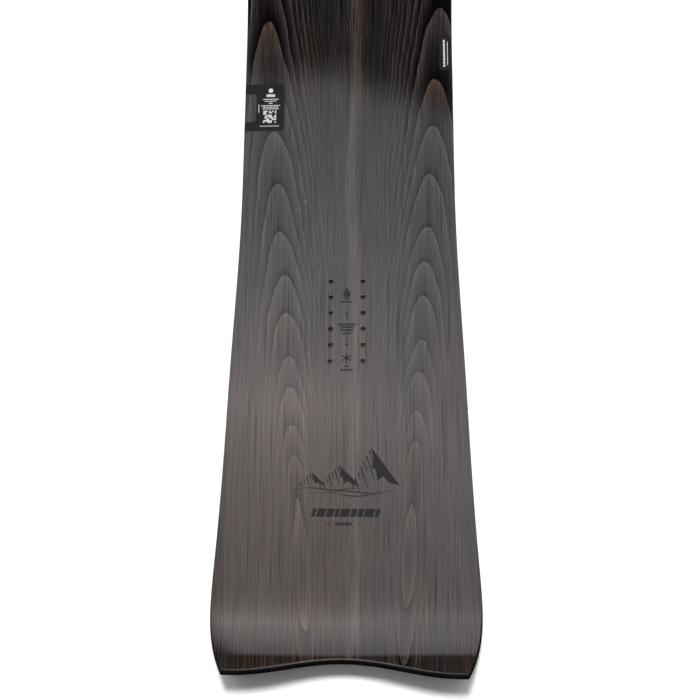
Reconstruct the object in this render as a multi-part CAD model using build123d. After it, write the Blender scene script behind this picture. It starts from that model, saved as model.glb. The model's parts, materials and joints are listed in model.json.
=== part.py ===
from build123d import *
import os
from math import cos, exp, hypot, pi, sin, sqrt

os.makedirs("parts", exist_ok=True)

# Frame: X across the board, +Y to the nose, +Z up, Z = 0 is the flat running base. All in mm.

# Length and side view
HALF_LENGTH = 791.0
TAIL_CONTACT = -690.0     # the flat base ends here and the tail kick starts
NOSE_CONTACT = 545.0
TAIL_KICK = 22.5          # rise of the base at the tail end, reached with the cube
NOSE_KICK = 46.0          # rise of the base at the nose tip, reached with the square
CORE_MID = 6.7            # wood core between and under the feet
CORE_TIP = 2.5            # core and spacer at both ends
TAIL_TAPER = -446.0       # the core starts to thin here, down to TAIL_CONTACT
NOSE_TAPER = 244.0        # and here, down to NOSE_CONTACT

# Plan outline
WAIST_HALF = 130.45
WAIST_Y = -100.4
SIDECUT_RADIUS = 6725.0
FOOT_BUMP = (5.14, 319.0, 194.5)   # height, distance from the waist, spread
MID_BUMP = (4.7, 0.0, 146.5)
TAIL_ROLL = (4.58, -643.0, 4.53)   # size, start, power
NOSE_ROUND = (400.0, 3.6)          # start, power
SWALLOW_DEPTH = 12.0
SWALLOW_HALF = 128.5
TAIL_CORNER_Y = -HALF_LENGTH

# Layer heights above the base curve
BASE_T = 1.3
EDGE_H = 1.8
FOIL_T = 0.2
GLASS_LOW_T = 0.6
GLASS_TOP_T = 0.7
VENEER_T = 0.5
LABEL_T = 0.12
CORE_Z = BASE_T + GLASS_LOW_T
FOIL_Z = EDGE_H + FOIL_T
RING_Z = FOIL_Z + GLASS_LOW_T

# Insets from the outer outline
EDGE_W = 2.2
FLANGE_W = 7.5
WALL_W = FLANGE_W + GLASS_LOW_T
BEVEL_SIDE = 1.2
BEVEL_CORNER = 3.0
BEVEL_END = 5.0
BEVEL_Z = RING_Z + 0.4

# Lengthwise joints between the core and the end spacers
TAIL_JOINT = -735.0
NOSE_JOINT = 700.0

# Core strips: name and outer distance from the centreline
CORE_STRIPS = (("inner", 34.0), ("mid", 62.0), ("stringer", 76.0), ("outer", 104.0), ("rail", 200.0))
CENTRE_STRIP = 10.0

# Screw inserts, M6, in a 40 x 20 mm grid
REAR_INSERTS_Y = -381.0
STANCE = 570.0
INSERT_X = 20.0
INSERT_PITCH = 20.0
INSERT_ROWS = 6
FLANGE_R = 8.0
FLANGE_T = 0.8
BARREL_R = 4.4
BARREL_TOP = CORE_Z + CORE_MID + GLASS_TOP_T
BORE_R = 2.5
BORE_MOUTH_R = 3.1
BORE_FLOOR = 3.2
SHEET_HOLE_R = 3.3

# Slots in the flange of the steel edge
SLOT_L = 14.0
SLOT_W = 3.2
SLOT_PITCH = 40.0
SLOT_FIRST = -620.0
SLOT_COUNT = 29
SLOT_INSET = 4.9

# Labels on the top face: x0, x1, y0, y1
LEFT_LABEL = (-145.0, -83.0, -129.2, -64.1)
LEFT_WINDOW = (-145.0, -119.5, -116.5, -77.6)
RIGHT_LABEL = (118.0, 145.0, -49.4, -2.2)
LABEL_RADIUS = 4.0
LABEL_EDGE = 1.6


def smooth(u):
    """Cubic step from 0 to 1."""
    u = min(max(u, 0.0), 1.0)
    return u * u * (3.0 - 2.0 * u)


def base_z(y):
    """Height of the running base."""
    tail = max(0.0, (TAIL_CONTACT - y) / (HALF_LENGTH + TAIL_CONTACT))
    nose = max(0.0, (y - NOSE_CONTACT) / (HALF_LENGTH - NOSE_CONTACT))
    return TAIL_KICK * tail ** 3 + NOSE_KICK * nose ** 2


def core_t(y):
    """Thickness of the wood core, which thins to both ends."""
    tail = smooth((TAIL_TAPER - y) / (TAIL_TAPER - TAIL_CONTACT))
    nose = smooth((y - NOSE_TAPER) / (NOSE_CONTACT - NOSE_TAPER))
    return CORE_MID - (CORE_MID - CORE_TIP) * (tail + nose)


def top_height(y):
    """Height of the top face above the base curve."""
    return CORE_Z + core_t(y) + GLASS_TOP_T + VENEER_T


def bump(y, shape):
    """Pair of equal swellings of the sidecut either side of the waist."""
    size, offset, spread = shape
    d = abs(y - WAIST_Y)
    return size * exp(-(((d - offset) / spread) ** 2))


def half_width(y):
    """Half of the board's width at y."""
    w = WAIST_HALF + (y - WAIST_Y) ** 2 / (2.0 * SIDECUT_RADIUS)
    w += bump(y, FOOT_BUMP) + bump(y, MID_BUMP)
    w -= TAIL_ROLL[0] * (max(0.0, TAIL_ROLL[1] - y) / 100.0) ** TAIL_ROLL[2]
    u = max(0.0, (y - NOSE_ROUND[0]) / (HALF_LENGTH - NOSE_ROUND[0]))
    return w * sqrt(max(0.0, 1.0 - u ** NOSE_ROUND[1]))


def path(t):
    """Right-hand outline: t runs 0 to 1 along the side, 1 to 2 round the nose to its tip."""
    if t > 2.0:
        x, y = path(4.0 - t)
        return -x, y
    start = TAIL_CORNER_Y - 12.0
    if t <= 1.0:
        y = start + t * (NOSE_ROUND[0] - start)
    else:
        y = NOSE_ROUND[0] + (HALF_LENGTH - NOSE_ROUND[0]) * sin((t - 1.0) * pi / 2.0)
    return half_width(y), y


def inset_path(t, inset):
    """Point of the outline moved inwards, square to the outline."""
    x, y = path(t)
    ax, ay = path(t - 0.0005)
    bx, by = path(t + 0.0005)
    run = hypot(bx - ax, by - ay)
    return x - inset * (by - ay) / run, y + inset * (bx - ax) / run


def tail_point(x, inset):
    """Point of the curved tail end, moved inwards."""
    y = TAIL_CORNER_Y + SWALLOW_DEPTH / 2.0 * (1.0 + cos(pi * x / SWALLOW_HALF))
    slope = -SWALLOW_DEPTH / 2.0 * pi / SWALLOW_HALF * sin(pi * x / SWALLOW_HALF)
    run = hypot(1.0, slope)
    return x - inset * slope / run, y + inset / run


def corner_t(inset):
    """Where the inset side meets the inset tail end."""
    low, high = 0.0, 0.2
    for _ in range(60):
        t = (low + high) / 2.0
        if inset_path(t, inset)[1] < TAIL_CORNER_Y + inset:
            low = t
        else:
            high = t
    return (low + high) / 2.0


def side_ts(first):
    """Sample places along the side: close at the tail corner and round the nose."""
    corner = [first + 0.007 * i + 0.001 * i * i for i in range(7)]
    side = [corner[-1] + (1.0 - corner[-1]) * i / 18.0 for i in range(1, 19)]
    nose = [1.0 + i / 11.0 for i in range(1, 12)]
    return corner + side + nose


def mirrored(points):
    """The same points on the left-hand side, in reverse order."""
    return [(-x, *rest) for x, *rest in reversed(points)]


def outline(inset):
    """Closed plan outline, moved inwards by inset."""
    right = [inset_path(t, inset) for t in side_ts(corner_t(inset))]
    right[-1] = (0.0, right[-1][1])
    tail = [tail_point(SWALLOW_HALF * i / 10.0, inset) for i in range(-10, 11)]
    side = Spline(*(right + mirrored(right)[1:]))
    scoop = Spline(*tail, tangents=((1, 0), (1, 0)))
    close_left = Line(mirrored(right)[-1], tail[0])
    close_right = Line(tail[-1], right[0])
    return make_face([side, close_left, scoop, close_right])


def prism(inset):
    """Tall block with the plan outline."""
    return extrude(Pos(0, 0, -5) * outline(inset), amount=80)


def side_edges(height, cored):
    """Side-view curve at a height over the base, or over the core top when cored."""
    y0, y1 = -HALF_LENGTH - 15.0, HALF_LENGTH + 15.0
    tip = height + (CORE_TIP if cored else 0.0)
    mid = height + (CORE_MID if cored else 0.0)

    def at(y, z):
        return (0.0, y, z)

    third = (TAIL_CONTACT - y0) / 3
    tail = Bezier(at(y0, base_z(y0) + tip), at(y0 + third, tip),
                  at(TAIL_CONTACT - third, tip), at(TAIL_CONTACT, tip))
    nose = Bezier(at(NOSE_CONTACT, tip), at((y1 + NOSE_CONTACT) / 2, tip), at(y1, base_z(y1) + tip))
    if not cored:
        return [tail, Line(at(TAIL_CONTACT, tip), at(NOSE_CONTACT, tip)), nose]
    third = (TAIL_TAPER - TAIL_CONTACT) / 3
    rise = Bezier(at(TAIL_CONTACT, tip), at(TAIL_CONTACT + third, tip),
                  at(TAIL_TAPER - third, mid), at(TAIL_TAPER, mid))
    flat = Line(at(TAIL_TAPER, mid), at(NOSE_TAPER, mid))
    third = (NOSE_CONTACT - NOSE_TAPER) / 3
    fall = Bezier(at(NOSE_TAPER, mid), at(NOSE_TAPER + third, mid),
                  at(NOSE_CONTACT - third, tip), at(NOSE_CONTACT, tip))
    return [tail, rise, flat, fall, nose]


def band(low, low_cored, high, high_cored):
    """Full-width slab between two side-view curves."""
    bottom = side_edges(low, low_cored)
    top = side_edges(high, high_cored)
    tail_end = Line(bottom[0] @ 0, top[0] @ 0)
    nose_end = Line(bottom[-1] @ 1, top[-1] @ 1)
    face = make_face(bottom + [nose_end] + top + [tail_end])
    return extrude(Pos(-220, 0, 0) * face, amount=440, dir=(1, 0, 0))


def block(x0, x1, y0, y1, z0=-10.0, z1=90.0):
    """Axis-aligned box between limits."""
    return Pos((x0 + x1) / 2, (y0 + y1) / 2, (z0 + z1) / 2) * Box(x1 - x0, y1 - y0, z1 - z0)


def ruled_solid(rails):
    """Solid whose section is a polygon that follows one curve per corner."""
    curves = [Edge.make_spline([Vector(*p) for p in rail]) for rail in rails]
    count = len(curves)
    faces = [Face.make_surface_from_curves(curves[i], curves[(i + 1) % count]) for i in range(count)]
    for end in (0, -1):
        corners = [Vector(*rail[end]) for rail in rails]
        faces.append(Face(Wire.make_polygon(corners, close=True)))
    return Solid(Shell(faces))


def bevel_section(place, width):
    """Four corners of the waste outside the bevel, at one place along the outline."""
    corners = []
    for inset, k, lift in ((-0.04 * width, -0.04, 0.0), (1.25 * width, 1.25, 0.0),
                           (-5.0, 1.25, 2.0), (-5.0, -0.04, 0.0)):
        x, y = place(inset)
        h = BEVEL_Z + k * (top_height(y) - BEVEL_Z) + lift
        corners.append((x, y, base_z(y) + h))
    return corners


def side_bevel():
    """Waste outside the bevelled sidewalls and nose."""
    sections = []
    ts = side_ts(0.0)
    for t in ts:
        y = path(t)[1]
        width = BEVEL_SIDE + (BEVEL_CORNER - BEVEL_SIDE) * smooth((TAIL_CONTACT - y) / 90.0)
        width += (BEVEL_END - BEVEL_SIDE) * smooth((y - 520.0) / 240.0)
        sections.append(bevel_section(lambda i, t=t: inset_path(t, i), width))
    rails = []
    for k in range(4):
        right = [s[k] for s in sections]
        right[-1] = (0.0, right[-1][1], right[-1][2])
        rails.append(right + mirrored(right)[1:])
    return ruled_solid(rails)


def tail_bevel():
    """Waste outside the bevelled tail end."""
    span = SWALLOW_HALF + 20.0
    sections = []
    for i in range(-12, 13):
        x = span * i / 12.0
        reach = min(max(x, -SWALLOW_HALF), SWALLOW_HALF)
        extra = x - reach

        def place(inset, reach=reach, extra=extra):
            px, py = tail_point(reach, inset)
            return px + extra, py

        sections.append(bevel_section(place, BEVEL_END))
    rails = [[s[k] for s in sections] for k in range(4)]
    return ruled_solid(rails)


def insert_positions():
    """Plan positions of all screw inserts, rear pack first."""
    packs = []
    for centre in (REAR_INSERTS_Y, REAR_INSERTS_Y + STANCE):
        first = centre - INSERT_PITCH * (INSERT_ROWS - 1) / 2.0
        rows = [first + INSERT_PITCH * i for i in range(INSERT_ROWS)]
        packs.append([(x, y) for y in rows for x in (-INSERT_X, INSERT_X)])
    return packs


def rod(x, y, radius, z0, z1):
    """Upright cylinder."""
    return Pos(x, y, (z0 + z1) / 2) * Cylinder(radius, z1 - z0)


def insert_blank(x, y):
    """Outer shape of one screw insert."""
    flange = rod(x, y, FLANGE_R, CORE_Z, CORE_Z + FLANGE_T)
    return flange + rod(x, y, BARREL_R, CORE_Z, BARREL_TOP)


def insert(x, y):
    """Flanged screw insert with a blind bore and a chamfered mouth."""
    blank = insert_blank(x, y)
    mouth_depth = BORE_MOUTH_R - BORE_R
    mouth = Pos(x, y, BARREL_TOP - mouth_depth / 2) * Cone(BORE_R, BORE_MOUTH_R, mouth_depth)
    return blank - rod(x, y, BORE_R, BORE_FLOOR, BARREL_TOP) - mouth


def slots(side):
    """Row of boxes for the slots in one edge flange."""
    boxes = []
    for i in range(SLOT_COUNT):
        y = SLOT_FIRST + SLOT_PITCH * i
        x = side * (half_width(y) - SLOT_INSET)
        boxes.append(Pos(x, y, (BASE_T + EDGE_H) / 2) * Box(SLOT_W, SLOT_L, 2.0))
    return boxes


def half(solid, side):
    """The part of a solid on one side of the centreline."""
    return solid & block(min(0.0, 300.0 * side), max(0.0, 300.0 * side), -900, 900)


def save(name, shape):
    """Write one node."""
    shape.label = name
    export_step(shape, f"parts/{name}.step")


SIDES = (("left", -1), ("right", 1))

# Shared blocks
full = prism(0.0)
inside_edge = prism(EDGE_W)
inside_flange = prism(FLANGE_W)
inside_wall = prism(WALL_W)
packs = insert_positions()
places = packs[0] + packs[1]
blanks = [insert_blank(x, y) for x, y in places]
waste = [side_bevel(), tail_bevel()]

# Running base
base_band = band(0.0, False, BASE_T, False)
save("base_sheet", inside_edge & base_band)

# Steel edges with slotted flanges, and the rubber foil keyed into the slots
edge_ring = (full & band(0.0, False, EDGE_H, False)) - (inside_edge & band(-1.0, False, BASE_T, False))
edge_ring -= inside_flange
foil_ring = (full & band(EDGE_H, False, FOIL_Z, False)) - inside_flange
for side_name, side in SIDES:
    edge = half(edge_ring, side)
    keys = [edge & b for b in slots(side)]
    save(f"steel_edge_{side_name}", edge - slots(side))
    save(f"rubber_foil_{side_name}", half(foil_ring, side) + keys)

# Lower glass layer, which steps up over the edge flanges
low_glass = full & band(BASE_T, False, RING_Z, False)
low_glass -= (full - inside_flange) & band(BASE_T - 1.0, False, FOIL_Z, False)
low_glass -= inside_wall & band(CORE_Z, False, RING_Z + 1.0, False)
save("glass_bottom", low_glass)

# Core, sidewalls and end spacers share the same top curve
wall = (full & band(RING_Z, False, CORE_Z, True)) - waste
inner = inside_wall & band(CORE_Z, False, CORE_Z, True)
middle = block(-220, 220, TAIL_JOINT, NOSE_JOINT)
ends = (("tail", block(-220, 220, -900, TAIL_JOINT)), ("nose", block(-220, 220, NOSE_JOINT, 900)))
for end_name, region in ends:
    save(f"spacer_{end_name}", (wall & region) + (inner & region))
side_wall = (wall - inside_wall) & middle
for side_name, side in SIDES:
    save(f"sidewall_{side_name}", half(side_wall, side))
core = (inner & middle) - blanks
save("core_centre", core & block(-CENTRE_STRIP, CENTRE_STRIP, -900, 900))
for side_name, side in SIDES:
    near = CENTRE_STRIP
    for strip, far in CORE_STRIPS:
        x0, x1 = sorted((side * near, side * far))
        save(f"core_{strip}_{side_name}", core & block(x0, x1, -900, 900))
        near = far

# Upper glass layer
top_glass = (full & band(CORE_Z, True, CORE_Z + GLASS_TOP_T, True)) - waste
save("glass_top", top_glass - [rod(x, y, BARREL_R, 0, 12) for x, y in places])

# Book-matched veneer top sheet
sheet_low = CORE_Z + GLASS_TOP_T
sheet_high = sheet_low + VENEER_T
sheet = (full & band(sheet_low, True, sheet_high, True)) - waste
sheet -= [rod(x, y, SHEET_HOLE_R, 0, 12) for x, y in places]
for side_name, side in SIDES:
    save(f"veneer_{side_name}", half(sheet, side))

# Labels on the top sheet
label_band = prism(LABEL_EDGE) & band(sheet_high, True, sheet_high + LABEL_T, True)


def label_area(limits):
    """Rounded rectangle block for a label."""
    x0, x1, y0, y1 = limits
    area = Pos((x0 + x1) / 2, (y0 + y1) / 2) * RectangleRounded(x1 - x0, y1 - y0, LABEL_RADIUS)
    return extrude(area, amount=30)


save("label_left", (label_band & label_area(LEFT_LABEL)) - label_area(LEFT_WINDOW))
save("label_right", label_band & label_area(RIGHT_LABEL))

# Screw inserts
for pack_name, pack in zip(("rear", "front"), packs):
    group = Compound([s for x, y in pack for s in insert(x, y).solids()])
    save(f"inserts_{pack_name}", group)
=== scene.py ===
import json
from math import cos, exp, hypot, pi, radians, sin, sqrt

import bmesh
import bpy
from mathutils import Matrix, Vector


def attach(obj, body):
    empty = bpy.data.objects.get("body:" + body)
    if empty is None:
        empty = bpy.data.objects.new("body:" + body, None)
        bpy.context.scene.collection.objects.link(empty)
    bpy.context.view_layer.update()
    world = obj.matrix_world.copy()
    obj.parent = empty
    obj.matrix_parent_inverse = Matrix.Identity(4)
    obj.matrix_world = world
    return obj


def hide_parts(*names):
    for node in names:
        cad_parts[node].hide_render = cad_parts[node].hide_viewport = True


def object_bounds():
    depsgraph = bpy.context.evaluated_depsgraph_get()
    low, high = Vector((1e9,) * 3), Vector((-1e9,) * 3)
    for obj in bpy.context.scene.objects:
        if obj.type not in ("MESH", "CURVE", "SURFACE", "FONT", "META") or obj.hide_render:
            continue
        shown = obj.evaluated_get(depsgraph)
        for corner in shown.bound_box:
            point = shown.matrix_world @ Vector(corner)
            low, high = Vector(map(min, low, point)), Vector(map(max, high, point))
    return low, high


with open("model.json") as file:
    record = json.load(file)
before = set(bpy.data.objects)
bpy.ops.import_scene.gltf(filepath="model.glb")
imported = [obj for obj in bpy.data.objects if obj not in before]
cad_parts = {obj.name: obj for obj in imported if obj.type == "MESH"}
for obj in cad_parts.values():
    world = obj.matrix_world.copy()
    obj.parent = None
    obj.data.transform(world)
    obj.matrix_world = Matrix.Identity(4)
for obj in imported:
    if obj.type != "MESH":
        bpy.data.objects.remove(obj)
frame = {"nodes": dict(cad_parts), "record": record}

cad_box = [list(v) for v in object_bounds()]
low, high = (Vector(v) for v in cad_box)
record = frame["record"]
bpy.context.scene.view_settings.view_transform = "Standard"
MM = 0.001

# ---------------------------------------------------------------- shape law, in mm
HALF_LENGTH = (high.y - low.y) / 2 / MM
TAIL_CONTACT, NOSE_CONTACT = -690.0, 545.0
TAIL_KICK, NOSE_KICK = 22.5, 46.0
CORE_MID, CORE_TIP = 6.7, 2.5
TAIL_TAPER, NOSE_TAPER = -446.0, 244.0
WAIST_HALF, WAIST_Y, SIDECUT_RADIUS = 130.45, -100.4, 6725.0
FOOT_BUMP, MID_BUMP = (5.14, 319.0, 194.5), (4.7, 0.0, 146.5)
TAIL_ROLL = (4.58, -643.0, 4.53)
NOSE_ROUND = (400.0, 3.6)
SWALLOW_DEPTH, SWALLOW_HALF = 12.0, 128.5
TAIL_END = -HALF_LENGTH
BASE_T, EDGE_H, FOIL_Z, CORE_Z, RING_Z = 1.3, 1.8, 2.0, 1.9, 2.6
GLASS_T, VENEER_T, BEVEL_Z = 0.7, 0.5, 3.0
BEVEL_SIDE, BEVEL_CORNER, BEVEL_END = 1.2, 3.0, 5.0
# where the side bevel widens: over this length past the tail contact, and from and over these at the nose
TAIL_WIDENS, NOSE_WIDENS = 90.0, (520.0, 240.0)
TAIL_JOINT, NOSE_JOINT = -735.0, 700.0
HOLE_R, BARREL_R = 3.3, 4.4
EDGE_W, FLANGE_W, WALL_W = 2.2, 7.5, 8.1
FLANGE_R, FLANGE_T, BARREL_TOP = 8.0, 0.8, 9.3
BORE_R, MOUTH_R, BORE_FLOOR = 2.5, 3.28, 3.2
THREAD_PITCH, THREAD_DEPTH = 1.0, 0.5
LABEL_T = 0.12


def smooth(u):
    u = min(max(u, 0.0), 1.0)
    return u * u * (3.0 - 2.0 * u)


def base_z(y):
    """Height of the base, which rises past both contact points."""
    tail = max(0.0, (TAIL_CONTACT - y) / (HALF_LENGTH + TAIL_CONTACT))
    nose = max(0.0, (y - NOSE_CONTACT) / (HALF_LENGTH - NOSE_CONTACT))
    return TAIL_KICK * tail ** 3 + NOSE_KICK * nose ** 2


def core_t(y):
    """Thickness of the core."""
    tail = smooth((TAIL_TAPER - y) / (TAIL_TAPER - TAIL_CONTACT))
    nose = smooth((y - NOSE_TAPER) / (NOSE_CONTACT - NOSE_TAPER))
    return CORE_MID - (CORE_MID - CORE_TIP) * (tail + nose)


def over_base(h):
    return lambda y: base_z(y) + h


def over_core(h):
    return lambda y: base_z(y) + CORE_Z + core_t(y) + h


sheet_top = over_core(GLASS_T + VENEER_T)


def bump(y, shape):
    """Gentle widening of the outline, at an offset either side of the waist."""
    size, offset, spread = shape
    return size * exp(-(((abs(y - WAIST_Y) - offset) / spread) ** 2))


def half_width(y):
    """Half the board's width: the sidecut's arc, its bumps, the tail's corners and the round nose."""
    w = WAIST_HALF + (y - WAIST_Y) ** 2 / (2.0 * SIDECUT_RADIUS)
    w += bump(y, FOOT_BUMP) + bump(y, MID_BUMP)
    w -= TAIL_ROLL[0] * (max(0.0, TAIL_ROLL[1] - y) / 100.0) ** TAIL_ROLL[2]
    u = max(0.0, (y - NOSE_ROUND[0]) / (HALF_LENGTH - NOSE_ROUND[0]))
    return w * sqrt(max(0.0, 1.0 - u ** NOSE_ROUND[1]))


def path(t):
    """Point of the outline: t is 0 to 1 up the side and 1 to 2 round the nose to its tip."""
    if t > 2.0:
        x, y = path(4.0 - t)
        return -x, y
    start = TAIL_END - 12.0
    if t <= 1.0:
        y = start + t * (NOSE_ROUND[0] - start)
    else:
        y = NOSE_ROUND[0] + (HALF_LENGTH - NOSE_ROUND[0]) * sin((t - 1.0) * pi / 2.0)
    return half_width(y), y


def moved_in(t, inset):
    """Point of the outline, moved in along its normal."""
    x, y = path(t)
    ax, ay = path(t - 0.0005)
    bx, by = path(t + 0.0005)
    run = hypot(bx - ax, by - ay)
    return x - inset * (by - ay) / run, y + inset * (bx - ax) / run


def tail_point(x, inset):
    """Point of the hollowed tail edge, moved in along its normal."""
    reach = min(x, SWALLOW_HALF)
    y = TAIL_END + SWALLOW_DEPTH / 2.0 * (1.0 + cos(pi * reach / SWALLOW_HALF))
    slope = -SWALLOW_DEPTH / 2.0 * pi / SWALLOW_HALF * sin(pi * reach / SWALLOW_HALF)
    run = hypot(1.0, slope)
    return x - inset * slope / run, y + inset / run


def solve(f, a, b):
    """Root of a rising function between a and b, by halving."""
    for _ in range(48):
        m = (a + b) / 2.0
        if f(m) < 0.0:
            a = m
        else:
            b = m
    return (a + b) / 2.0


def insert_places():
    """Centres of the screw inserts, from the record's bolt patterns."""
    spots = set()
    for m in record["mounts"]:
        if m["kind"] != "bolt_pattern":
            continue
        cx, cy = m["pos_m"][0] / MM, m["pos_m"][1] / MM
        half_x, half_y = m["dims"]["spacing_x_mm"] / 2, m["dims"]["spacing_y_mm"] / 2
        for x in (cx - half_x, cx + half_x):
            for y in (cy - half_y, cy + half_y):
                spots.add((round(x, 3), round(y, 3)))
    return spots


places = insert_places()
INSERT_X = max(x for x, _ in places)
insert_rows = sorted({y for _, y in places})
PITCH = insert_rows[1] - insert_rows[0]

# Stations along the right-hand perimeter: across the tail, round the corner, up the side, round the nose
ACROSS, CORNER, NOSE = 28, 14, 64
CORNER_Y, SIDE_END = -752.0, 385.0
FINE_STEP, MIDDLE_STEP, COARSE_STEP = 4.0, 9.0, 20.0


def row_step(y):
    """Rows stand closer where the board curves."""
    if y < TAIL_CONTACT + 8.0:
        return FINE_STEP
    if y < TAIL_TAPER or y > NOSE_TAPER:
        return MIDDLE_STEP
    return COARSE_STEP


def side_rows():
    """Rows up the side. Those beside an insert stand half a pitch from it, for its square cell."""
    rows = {CORNER_Y, SIDE_END, TAIL_CONTACT, TAIL_TAPER, NOSE_TAPER, TAIL_JOINT}
    y = CORNER_Y
    while y < SIDE_END:
        rows.add(y)
        y += row_step(y)
    near = [r for r in rows if any(abs(r - y) < PITCH * 0.95 for y in insert_rows)]
    rows.difference_update(near)
    for y in insert_rows:
        rows.update((round(y - PITCH / 2, 3), round(y + PITCH / 2, 3)))
    rows = sorted(rows)
    return [r for i, r in enumerate(rows) if i == 0 or r - rows[i - 1] > 0.5]


ROWS = side_rows()


def plain(inset):
    return lambda t: inset


def bevelled(z):
    """Inset of the bevel at a height law z."""
    def inset(t):
        y = path(t)[1]
        width = BEVEL_SIDE + (BEVEL_CORNER - BEVEL_SIDE) * smooth((TAIL_CONTACT - y) / TAIL_WIDENS)
        width += (BEVEL_END - BEVEL_SIDE) * smooth((y - NOSE_WIDENS[0]) / NOSE_WIDENS[1])
        return width * (z(y) - base_z(y) - BEVEL_Z) / (sheet_top(y) - base_z(y) - BEVEL_Z)
    return inset


def tail_inset(inset, z):
    """Inset of the tail's edge: the plain one, or the end bevel's at a height law z."""
    if z is None:
        return inset(0.0)
    y = TAIL_END + SWALLOW_DEPTH / 2.0
    return BEVEL_END * (z(y) - base_z(y) - BEVEL_Z) / (sheet_top(y) - base_z(y) - BEVEL_Z)


def perimeter(inset, z=None):
    """Points of the right-hand outline at an inset, from the tail's middle to the nose tip."""
    ti = tail_inset(inset, z)
    tc = solve(lambda t: moved_in(t, inset(t))[1] - TAIL_END - ti, 0.0, 0.1)
    xc = moved_in(tc, inset(tc))[0]
    points = [tail_point(xc * i / ACROSS, ti) for i in range(ACROSS)]
    points[0] = (0.0, points[0][1])
    te = solve(lambda t: moved_in(t, inset(t))[1] - CORNER_Y, tc, 0.2)
    for i in range(CORNER):
        t = tc + (te - tc) * i / CORNER
        points.append(moved_in(t, inset(t)))
    for y in ROWS:
        t = solve(lambda t: moved_in(t, inset(t))[1] - y, 0.0, 1.02)
        points.append((moved_in(t, inset(t))[0], y))
    points += [moved_in(1.0 + i / NOSE, inset(1.0 + i / NOSE)) for i in range(NOSE + 1)]
    points[-1] = (0.0, points[-1][1])
    return points


def columns(width):
    """Distances of a row's points from the centreline. The second cell out holds the inserts."""
    k = min(1.0, width / 100.0)
    inner = [0.0, (INSERT_X - PITCH / 2) * k, (INSERT_X + PITCH / 2) * k]
    n = ACROSS - 2
    return inner + [inner[2] + (width - inner[2]) * i / n for i in range(1, n + 1)]


def half_grid(points):
    """Rows of plan points from the centreline to the perimeter, as a Coons patch at the tail."""
    corner = points[ACROSS:ACROSS + CORNER + 1]
    bottom = points[:ACROSS + 1]
    top = [(x, corner[-1][1]) for x in columns(corner[-1][0])]
    rows = []
    for k in range(CORNER + 1):
        v = k / CORNER
        left = (0.0, bottom[0][1] * (1 - v) + top[0][1] * v)
        right = corner[k]
        row = []
        for j in range(ACROSS + 1):
            u = j / ACROSS
            p = []
            for c in (0, 1):
                edge = (1 - v) * bottom[j][c] + v * top[j][c] + (1 - u) * left[c] + u * right[c]
                low_chord = (1 - u) * bottom[0][c] + u * bottom[-1][c]
                high_chord = (1 - u) * top[0][c] + u * top[-1][c]
                p.append(edge - (1 - v) * low_chord - v * high_chord)
            row.append(tuple(p))
        rows.append(row)
    for x, y in points[ACROSS + CORNER + 1:]:
        rows.append([(c, y) for c in columns(x)])
    return rows


def finish_mesh(name, bm, material, smooth_angle=30.0, cut=None):
    bmesh.ops.remove_doubles(bm, verts=bm.verts, dist=2e-6)
    bmesh.ops.dissolve_degenerate(bm, edges=bm.edges, dist=1e-7)
    bmesh.ops.recalc_face_normals(bm, faces=bm.faces)
    mesh = bpy.data.meshes.new(name)
    bm.to_mesh(mesh)
    bm.free()
    for p in mesh.polygons:
        p.use_smooth = True
    mesh.set_sharp_from_angle(angle=radians(smooth_angle))
    obj = bpy.data.objects.new(name, mesh)
    bpy.context.scene.collection.objects.link(obj)
    mesh.materials.append(material)
    if cut:
        mesh.materials.append(cut)
    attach(obj, "root")
    return obj


HOLE_SIDES = 32


def hole_edge(bm, s, cy, radius, z):
    loop = []
    for k in range(HOLE_SIDES):
        a = 2 * pi * (k + 0.5) / HOLE_SIDES - 3 * pi / 4
        x, y = INSERT_X + radius * cos(a), cy + radius * sin(a)
        loop.append(bm.verts.new((s * x * MM, y * MM, z(y) * MM)))
    return loop


def fill_round(bm, cell, loop):
    """Faces between a cell's four corners and the hole in it."""
    quarter = HOLE_SIDES // 4
    for q in range(4):
        start = q * quarter
        for k in range(quarter - 1):
            bm.faces.new((cell[q], loop[start + k], loop[start + k + 1]))
        last, following = loop[start + quarter - 1], loop[(start + quarter) % HOLE_SIDES]
        bm.faces.new((cell[q], last, following, cell[(q + 1) % 4]))


def open_cell(bm, s, cy, radius, cells, heights):
    """Cell of a sheet with a round hole through both faces."""
    loops = []
    for cell, z in zip(cells, heights):
        loops.append(hole_edge(bm, s, cy, radius, z))
        fill_round(bm, cell, loops[-1])
    upper, lower = loops
    for k in range(HOLE_SIDES):
        n = (k + 1) % HOLE_SIDES
        bm.faces.new((upper[k], upper[n], lower[n], lower[k]))


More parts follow.
